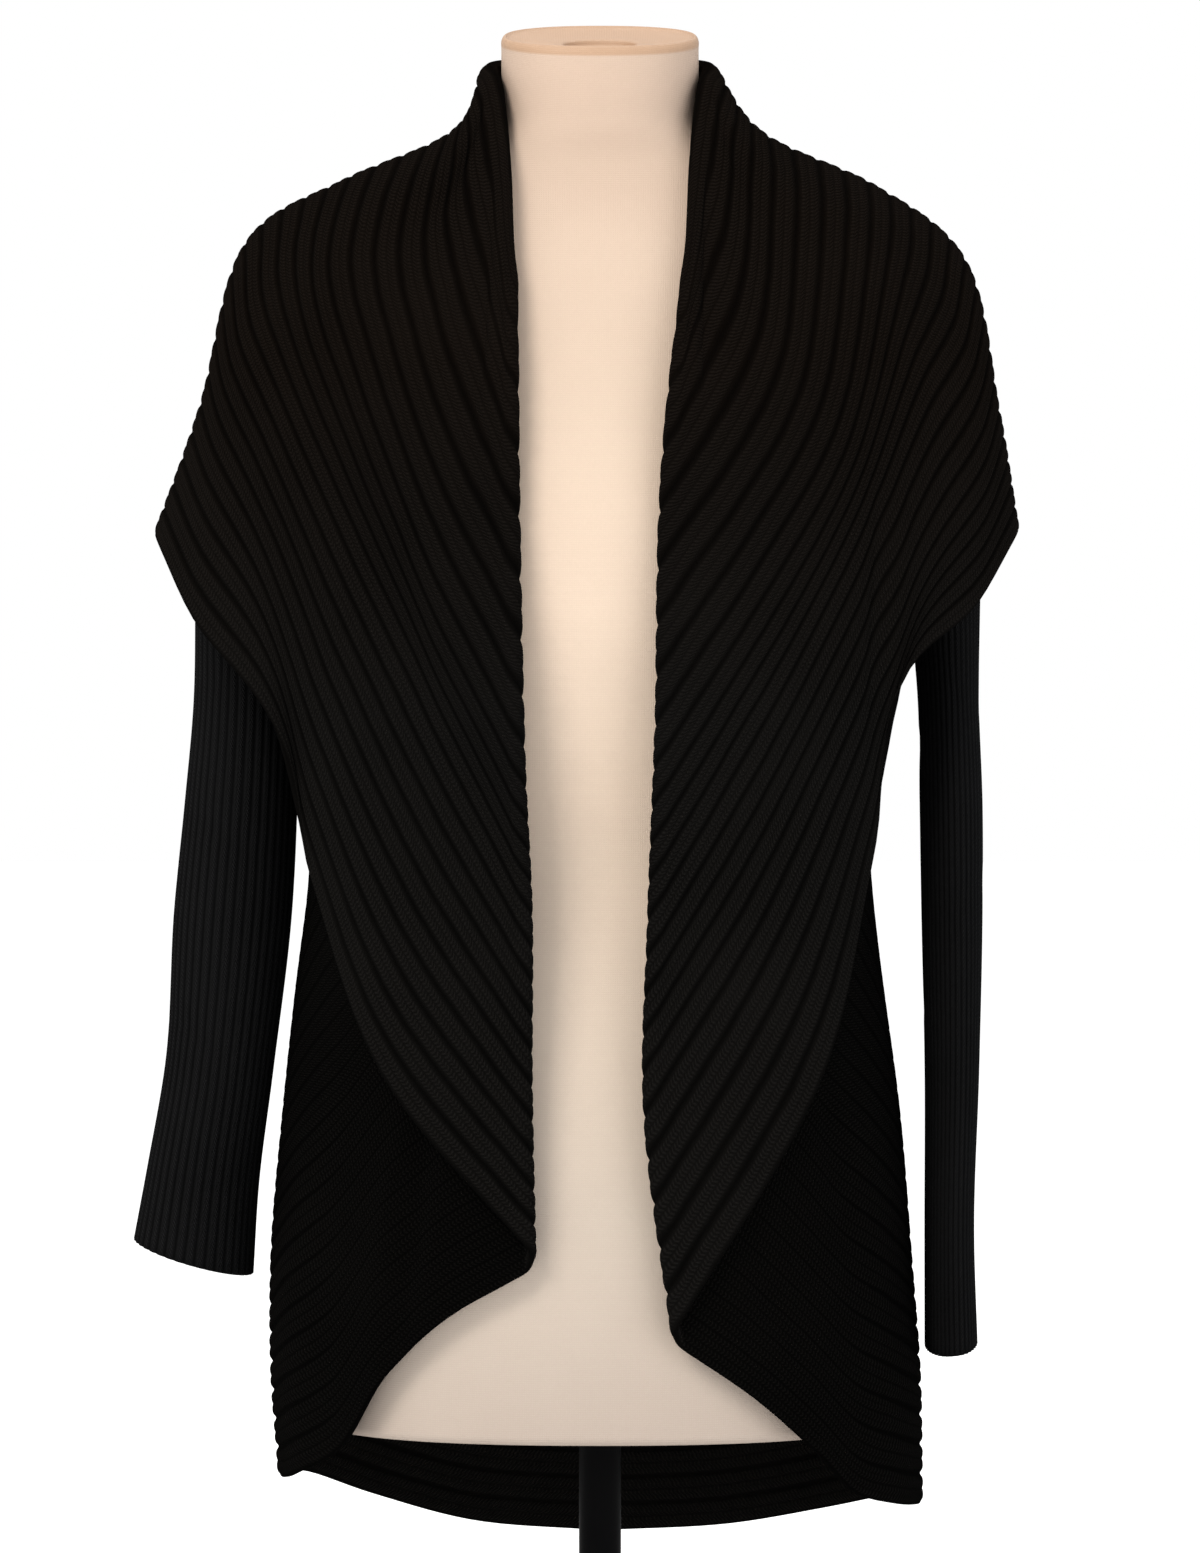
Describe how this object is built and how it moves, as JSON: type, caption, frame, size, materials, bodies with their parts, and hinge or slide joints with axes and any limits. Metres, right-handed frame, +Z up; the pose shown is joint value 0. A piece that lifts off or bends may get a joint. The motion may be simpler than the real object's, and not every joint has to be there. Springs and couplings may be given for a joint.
{
  "type": "cardigan on a dress form",
  "caption": "Rib-knit open-front cardigan whose wide band folds over as a shawl collar and short cape, worn by a limbless dress form on a round stand.",
  "frame": {"origin": "centre of the underside of the round base, on the floor", "axes": "+Z up along the pole, -Y toward the front of the garment, +X toward the wearer's left"},
  "size_m": [0.5028, 0.32, 1.0469],
  "materials": {
    "band_knit": "matt wide-rib knit",
    "body_knit": "matt narrow-rib knit",
    "jersey_cover": "matt jersey",
    "black_metal": "satin black"
  },
  "bodies": {
    "root": {"band_right": "band_knit", "band_left": "band_knit", "back_panel": "body_knit", "sleeve_right": "body_knit", "sleeve_left": "body_knit", "dress_form": "jersey_cover", "stand_pole": "black_metal", "stand_base": "black_metal"}
  },
  "joints": []
}
